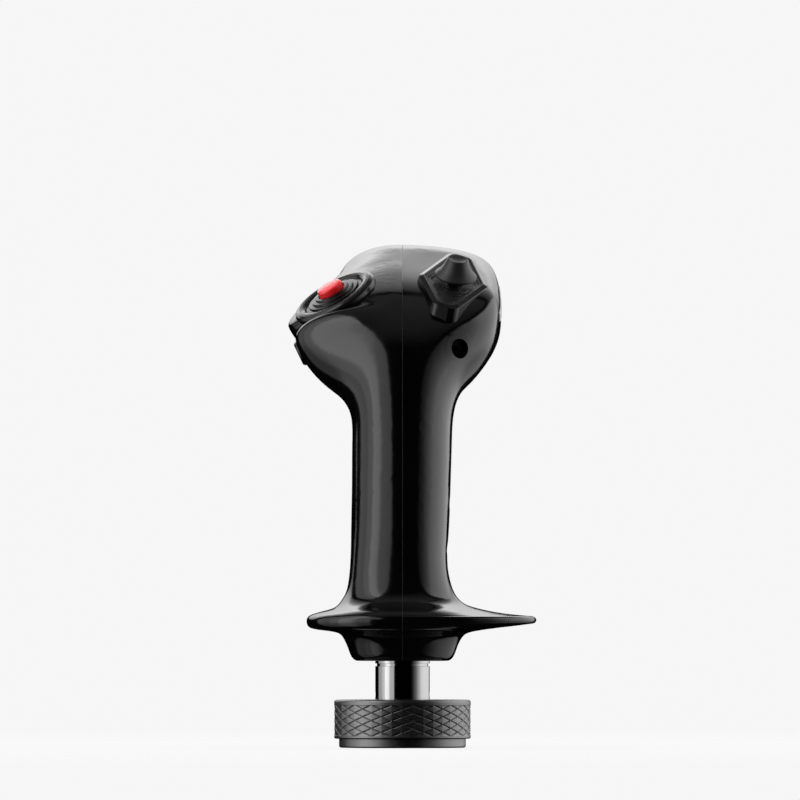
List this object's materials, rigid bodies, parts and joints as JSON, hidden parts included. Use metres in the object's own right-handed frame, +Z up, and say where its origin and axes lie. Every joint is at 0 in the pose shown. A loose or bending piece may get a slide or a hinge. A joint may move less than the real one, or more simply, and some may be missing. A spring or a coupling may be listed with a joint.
{
  "type": "flight joystick grip",
  "caption": "Right-hand flight sidestick grip with trigger, thumb and side buttons, tilting hat switch, hand rest and a knurled quick-lock nut.",
  "frame": {"origin": "on the stem's axis at the lower end of the lock nut, which is the mouth of the coupling thread", "axes": "+Z up along the stem, +Y forward away from the pilot, +X to the pilot's right"},
  "size_m": [0.0913, 0.1408, 0.1852],
  "materials": {
    "gloss_black": "glossy",
    "satin_black": "satin",
    "pale_print": "satin",
    "polished_steel": "polished",
    "steel": "satin",
    "black_steel": "satin",
    "plug_alloy": "satin",
    "nut_alloy": "dark anodised satin",
    "washer_plastic": "satin",
    "insert_plastic": "satin",
    "gold_contact": "polished",
    "board_green": "satin",
    "chip_black": "matt",
    "cable_jacket": "matt",
    "red_plastic": "glossy"
  },
  "bodies": {
    "grip": {"left_shell": "gloss_black", "right_shell": "gloss_black", "name_bar": "pale_print", "stem_tube": "polished_steel", "anchor_dowel": "steel", "coupling_plug": "plug_alloy", "plug_pins": "steel", "connector_insert": "insert_plastic", "contact_sleeves": "gold_contact", "shell_screws": "black_steel", "head_screw": "black_steel", "nut_plate": "steel", "main_board": "board_green", "board_chips": "chip_black", "board_headers": "insert_plastic", "board_screws": "steel", "wiring_harness": "cable_jacket", "switch_leads": "cable_jacket", "bezel_ring": "gloss_black", "ridged_disc": "satin_black", "thumb_carrier": "satin_black", "thumb_switch": "chip_black", "thumb_spring": "steel", "side_collar": "satin_black", "side_housing": "satin_black", "side_switch": "chip_black", "side_spring": "steel", "hat_plinth": "gloss_black", "hat_housing": "satin_black", "hat_switch": "chip_black", "trigger_pin": "steel", "trigger_frame": "steel", "frame_screws": "steel", "trigger_switch": "chip_black", "trigger_spring": "steel"},
    "trigger": {"trigger": "gloss_black"},
    "red_button": {"red_button": "red_plastic"},
    "side_button": {"side_button": "gloss_black"},
    "hat_ring": {"hat_gimbal": "steel"},
    "hat_stick": {"hat_stick": "black_steel"},
    "hat_cap": {"hat_cap": "satin_black"},
    "nut_slider": {"thrust_washer": "washer_plastic"},
    "lock_nut": {"lock_nut": "nut_alloy"}
  },
  "joints": [
    {"name": "trigger_pull", "type": "hinge", "parent": "grip", "child": "trigger", "pos_m": [0, 0.0925, 0.1605], "axis": [-1, 0, 0], "range_deg": [0, 7], "stiffness_Nm_per_rad": 0.5, "springref_deg": -6.88, "deforming": ["trigger_spring"]},
    {"name": "thumb_press", "type": "slide", "parent": "grip", "child": "red_button", "axis": [0.4693, 0.3002, -0.8305], "range_m": [0, 0.0013], "stiffness_N_per_m": 900, "springref_m": -0.0008, "deforming": ["thumb_spring"]},
    {"name": "side_press", "type": "slide", "parent": "grip", "child": "side_button", "axis": [0.9023, 0, 0.4311], "range_m": [0, 0.001], "stiffness_N_per_m": 900, "springref_m": -0.0008, "deforming": ["side_spring"]},
    {"name": "hat_pitch", "type": "hinge", "parent": "grip", "child": "hat_ring", "pos_m": [0.01832, 0.05265, 0.1635], "axis": [0.9914, 0, -0.1306], "range_deg": [-5, 5], "stiffness_Nm_per_rad": 0.05},
    {"name": "hat_roll", "type": "hinge", "parent": "hat_ring", "child": "hat_stick", "pos_m": [0.01832, 0.05265, 0.1635], "axis": [0.0516, 0.9187, 0.3916], "range_deg": [-5, 5], "stiffness_Nm_per_rad": 0.05},
    {"name": "hat_press", "type": "slide", "parent": "hat_stick", "child": "hat_cap", "axis": [-0.12, 0.3949, -0.9108], "range_m": [0, 0.0004], "stiffness_N_per_m": 1500, "springref_m": -0.0006},
    {"name": "nut_slide", "type": "slide", "parent": "grip", "child": "nut_slider", "axis": [0, 0, 1], "range_m": [0, 0.0125]},
    {"name": "nut_spin", "type": "hinge", "parent": "nut_slider", "child": "lock_nut", "pos_m": [0, 0, 0.009], "axis": [0, 0, 1], "continuous": true}
  ]
}
